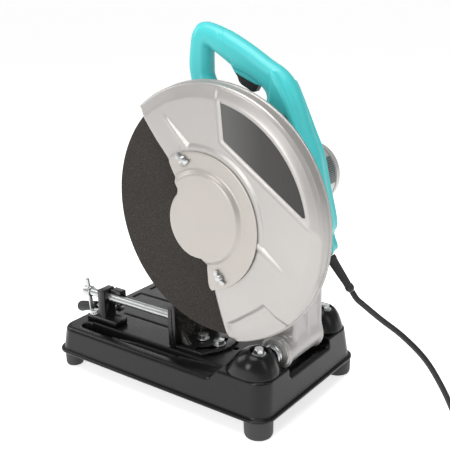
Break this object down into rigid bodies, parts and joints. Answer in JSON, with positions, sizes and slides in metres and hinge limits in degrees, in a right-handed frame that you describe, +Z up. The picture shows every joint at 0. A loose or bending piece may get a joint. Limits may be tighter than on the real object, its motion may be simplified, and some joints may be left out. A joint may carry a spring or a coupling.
{
  "type": "abrasive chop saw",
  "caption": "Bench cut-off saw: sprung pivoting arm with geared motor, half-covered abrasive wheel and D-handle, over a slotted base with fence and quick-release vice.",
  "frame": {"origin": "on the floor, under the middle of the machine without its cord (between the tip of the release lever and the rear of the guard)", "axes": "+Z up; +X across the saw, towards the wheel and guard; -Y towards the vice and the operator, +Y towards the arm's pivot"},
  "size_m": [0.27, 0.8677, 0.565],
  "materials": {
    "base_paint": "semi-gloss black paint on cast and pressed metal",
    "guard_paint": "satin silver paint",
    "casting": "die-cast, satin",
    "zinc": "zinc plated",
    "steel": "machined",
    "abrasive": null,
    "teal_plastic": "satin moulded plastic",
    "black_plastic": "moulded",
    "rubber": "moulded rubber",
    "winding": null,
    "black_casting": "black paint on a light casting",
    "painted_casting": "silver paint on a light casting"
  },
  "bodies": {
    "base": {"base_pan": "base_paint", "bracket_bolt": "zinc", "cord": "rubber", "cord_coil": "rubber", "fence": "base_paint", "fence_bolt_front": "zinc", "fence_bolt_rear": "zinc", "foot_front_left": "rubber", "foot_front_right": "rubber", "foot_rear_left": "rubber", "foot_rear_right": "rubber", "half_nut": "black_casting", "pivot_cap_bolt_left": "zinc", "pivot_cap_bolt_right": "zinc", "pivot_cap_left": "black_casting", "pivot_cap_right": "black_casting", "pivot_shaft": "steel", "pivot_washer": "zinc", "plug": "rubber", "screw_bracket": "black_casting", "torsion_spring": "steel"},
    "jaw": {"jaw_plate": "base_paint"},
    "screw": {"vice_screw": "zinc", "t_bar": "zinc"},
    "release_lever": {"release_lever": "zinc", "lever_grip": "rubber"},
    "spindle": {"spindle": "steel", "drive_gear": "steel", "inner_flange": "zinc", "cutting_wheel": "abrasive", "outer_flange": "zinc", "arbor_bolt": "zinc"},
    "armature": {"armature": "steel", "armature_core": "winding", "fan": "black_plastic"},
    "trigger": {"trigger": "black_plastic"},
    "lock_button": {"lock_button": "black_plastic"},
    "spindle_lock": {"spindle_lock_button": "black_plastic"},
    "wing_nut_upper": {"wing_nut_upper": "zinc"},
    "wing_nut_lower": {"wing_nut_lower": "zinc"},
    "arm": {"arm_casting": "painted_casting", "gear_housing": "casting", "gear_cover": "casting", "guard_back_plate": "guard_paint", "wheel_guard": "guard_paint", "hub_cover": "guard_paint", "motor_housing": "painted_casting", "motor_end_cap": "painted_casting", "stator": "steel", "brush_cap_upper": "black_plastic", "brush_cap_lower": "black_plastic", "handle_half_left": "teal_plastic", "handle_half_right": "teal_plastic", "switch_body": "black_plastic", "strain_relief": "rubber", "spindle_bearing_inner": "steel", "spindle_bearing_outer": "steel", "armature_bearing_front": "steel", "armature_bearing_rear": "steel"}
  },
  "joints": [
    {"name": "arm_pivot", "type": "hinge", "parent": "base", "child": "arm", "pos_m": [0, 0.15635, 0.098], "axis": [1, 0, 0], "range_deg": [0, 33], "stiffness_Nm_per_rad": 26, "springref_deg": -28.65},
    {"name": "jaw_slide", "type": "slide", "parent": "base", "child": "jaw", "axis": [0, -1, 0], "range_m": [0, 0.1]},
    {"name": "vice_screw_turn", "type": "hinge", "parent": "jaw", "child": "screw", "pos_m": [0.066, -0.21565, 0.116], "axis": [0, 1, 0], "continuous": true},
    {"name": "release_lever_lift", "type": "hinge", "parent": "base", "child": "release_lever", "pos_m": [0.04, -0.17115, 0.086], "axis": [-1, 0, 0], "range_deg": [0, 12]},
    {"name": "spindle_turn", "type": "hinge", "parent": "arm", "child": "spindle", "pos_m": [0.098, 0.08835, 0.311], "axis": [1, 0, 0], "continuous": true},
    {"name": "armature_turn", "type": "hinge", "parent": "arm", "child": "armature", "pos_m": [0, 0.12435, 0.338], "axis": [1, 0, 0], "continuous": true},
    {"name": "trigger_pull", "type": "hinge", "parent": "arm", "child": "trigger", "pos_m": [0.015, 0.06635, 0.5], "axis": [1, 0, 0], "range_deg": [0, 8], "stiffness_Nm_per_rad": 0.6, "springref_deg": -11.46},
    {"name": "lock_button_push", "type": "slide", "parent": "arm", "child": "lock_button", "axis": [1, 0, 0], "range_m": [0, 0.003], "stiffness_N_per_m": 300, "springref_m": -0.002},
    {"name": "spindle_lock_push", "type": "slide", "parent": "arm", "child": "spindle_lock", "axis": [0, 0.8192, -0.5736], "range_m": [0, 0.0008], "stiffness_N_per_m": 500, "springref_m": -0.002},
    {"name": "wing_nut_upper_turn", "type": "hinge", "parent": "arm", "child": "wing_nut_upper", "pos_m": [0.125, 0.05535, 0.391], "axis": [1, 0, 0], "continuous": true},
    {"name": "wing_nut_lower_turn", "type": "hinge", "parent": "arm", "child": "wing_nut_lower", "pos_m": [0.125, 0.11335, 0.231], "axis": [1, 0, 0], "continuous": true}
  ],
  "couplings": [
    {"joint": "armature_turn", "follows": "spindle_turn", "ratio": -4}
  ]
}
